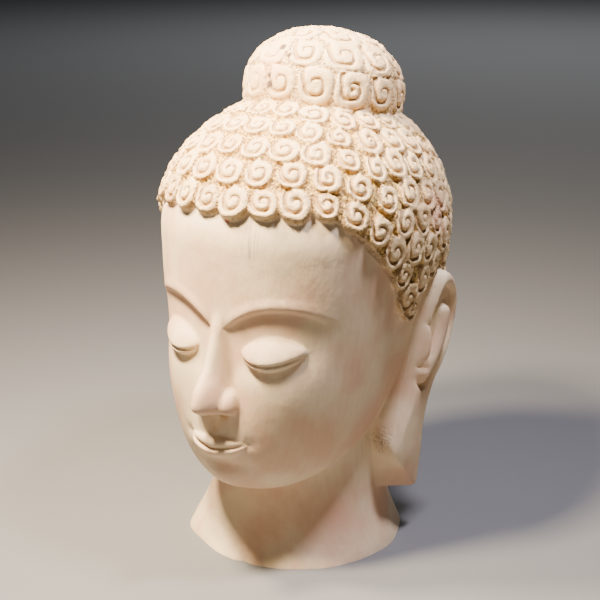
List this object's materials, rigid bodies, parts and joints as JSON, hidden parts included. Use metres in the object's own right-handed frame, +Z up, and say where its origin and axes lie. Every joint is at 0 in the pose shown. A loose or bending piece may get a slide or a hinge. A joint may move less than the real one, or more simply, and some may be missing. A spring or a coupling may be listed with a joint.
{
  "type": "carved buddha head",
  "caption": "Free-standing carved wooden head with snail curls, topknot and long ear lobes, cut flat below the neck to stand as a decorative bust.",
  "frame": {"origin": "on the flat underside of the neck, in the head's middle plane and under the middle of the skull", "axes": "+Z up the head, -Y the way the face looks, +X to the head's own left ear"},
  "size_m": [0.2527, 0.3061, 0.4504],
  "materials": {
    "carved_wood": "matt bare pale wood, cream to pinkish, with ochre dirt in the cuts of the hair"
  },
  "bodies": {
    "root": {"carved_head": "carved_wood"}
  },
  "joints": []
}
